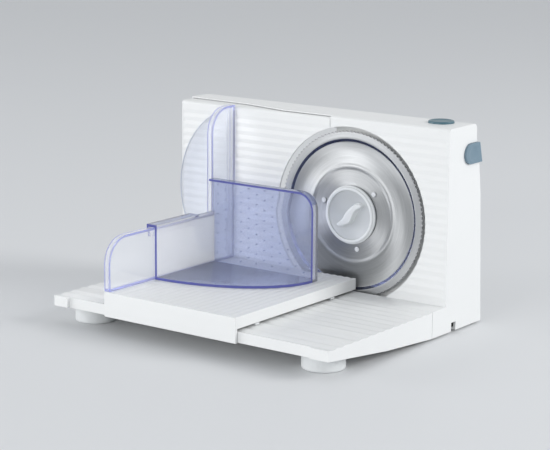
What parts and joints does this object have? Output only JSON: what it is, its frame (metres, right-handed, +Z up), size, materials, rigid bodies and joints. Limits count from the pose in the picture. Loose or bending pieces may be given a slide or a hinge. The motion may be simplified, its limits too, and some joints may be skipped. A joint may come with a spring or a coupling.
{
  "type": "food slicer",
  "caption": "Household food slicer with a round serrated blade, sliding carriage with a clear wall and blue food holder, adjustable stop plate and folding base",
  "frame": {"origin": "centre of the overall box, at the floor under the feet", "axes": "+X along the housing towards the side with the switch button, +Y from the folding base to the back of the housing, +Z up"},
  "size_m": [0.326, 0.264, 0.2012],
  "materials": {
    "white_plastic": "moulded, cool white",
    "foot_plastic": "moulded, white",
    "light_grey_plastic": "moulded, light grey",
    "blue_grey_plastic": "moulded, steel blue",
    "white_rivet": "white, smooth",
    "gear_plastic": "moulded, natural",
    "black_plastic": "moulded, black",
    "blade_steel": "circular brushed",
    "steel": "turned",
    "motor_steel": "zinc plated",
    "winding": "varnished copper",
    "brass": "turned",
    "grey_rubber": "matte",
    "black_rubber": "matte",
    "clear_plastic": "clear, polished",
    "blue_clear_plastic": "clear blue, polished"
  },
  "bodies": {
    "frame": {"housing_shell": "white_plastic", "rear_cover": "white_plastic", "cover_screw_1": "steel", "cover_screw_2": "steel", "cover_screw_3": "steel", "cover_screw_4": "steel", "guide_bush_lower": "brass", "guide_bush_upper": "brass", "blade_axle": "steel", "axle_carrier": "steel", "worm_bush": "brass", "motor_can": "motor_steel", "motor_end_cap": "black_plastic", "motor_bracket": "motor_steel", "safety_switch": "black_plastic", "cord_gland": "black_rubber", "terminal_block": "gear_plastic", "base_plate": "white_plastic", "hinge_pin_left": "steel", "hinge_pin_right": "steel", "front_foot_left": "foot_plastic", "front_foot_right": "foot_plastic", "rear_foot_left": "grey_rubber", "rear_foot_right": "grey_rubber"},
    "blade": {"blade_disc": "blade_steel", "blade_rivet_1": "white_rivet", "blade_rivet_2": "white_rivet", "blade_rivet_3": "white_rivet", "blade_gear": "gear_plastic"},
    "lock_cap": {"blade_lock_cap": "light_grey_plastic"},
    "motor_shaft": {"motor_worm": "steel", "motor_rotor": "winding"},
    "thickness_plate": {"stop_plate": "white_plastic", "guide_rod_lower": "steel", "guide_rod_upper": "steel", "spindle_nut": "brass"},
    "thickness_drive": {"thickness_knob": "blue_grey_plastic", "thickness_spindle": "steel"},
    "carriage": {"carriage_table": "white_plastic", "guide_shoe_front": "foot_plastic", "guide_shoe_rear": "foot_plastic", "carriage_wall": "clear_plastic", "thumb_guard": "clear_plastic"},
    "holder": {"food_holder": "blue_clear_plastic"},
    "release_button": {"top_button": "blue_grey_plastic", "button_spring": "steel"},
    "switch_button": {"side_button": "blue_grey_plastic"}
  },
  "joints": [
    {"name": "blade_spin", "type": "hinge", "parent": "frame", "child": "blade", "pos_m": [0.0485, 0.0645, 0.103], "axis": [0, 1, 0], "continuous": true},
    {"name": "cap_turn", "type": "hinge", "parent": "blade", "child": "lock_cap", "pos_m": [0.0485, 0.0657, 0.103], "axis": [0, 1, 0], "range_deg": [0, 90]},
    {"name": "motor_worm_spin", "type": "hinge", "parent": "frame", "child": "motor_shaft", "pos_m": [0.0835, 0.0955, 0.103], "axis": [0, 0, 1], "continuous": true},
    {"name": "thickness_knob_turn", "type": "hinge", "parent": "frame", "child": "thickness_drive", "pos_m": [-0.137, 0.1248, 0.095], "axis": [0, -1, 0], "range_deg": [0, 300]},
    {"name": "stop_plate_slide", "type": "slide", "parent": "frame", "child": "thickness_plate", "axis": [0, 1, 0], "range_m": [0, 0.015]},
    {"name": "carriage_slide", "type": "slide", "parent": "frame", "child": "carriage", "axis": [1, 0, 0], "range_m": [-0.0455, 0.081]},
    {"name": "holder_slide", "type": "slide", "parent": "carriage", "child": "holder", "axis": [0, 1, 0], "range_m": [-0.042, 0.024]},
    {"name": "top_button_press", "type": "slide", "parent": "frame", "child": "release_button", "axis": [0, 0, -1], "range_m": [0, 0.0025], "stiffness_N_per_m": 400, "springref_m": -0.002, "deforming": ["button_spring"]},
    {"name": "side_button_press", "type": "slide", "parent": "frame", "child": "switch_button", "axis": [-1, 0, 0], "range_m": [0, 0.0025], "stiffness_N_per_m": 400, "springref_m": -0.002}
  ],
  "couplings": [
    {"joint": "motor_worm_spin", "follows": "blade_spin", "ratio": 22},
    {"joint": "thickness_knob_turn", "follows": "stop_plate_slide", "rad_per_m": 349.07}
  ]
}
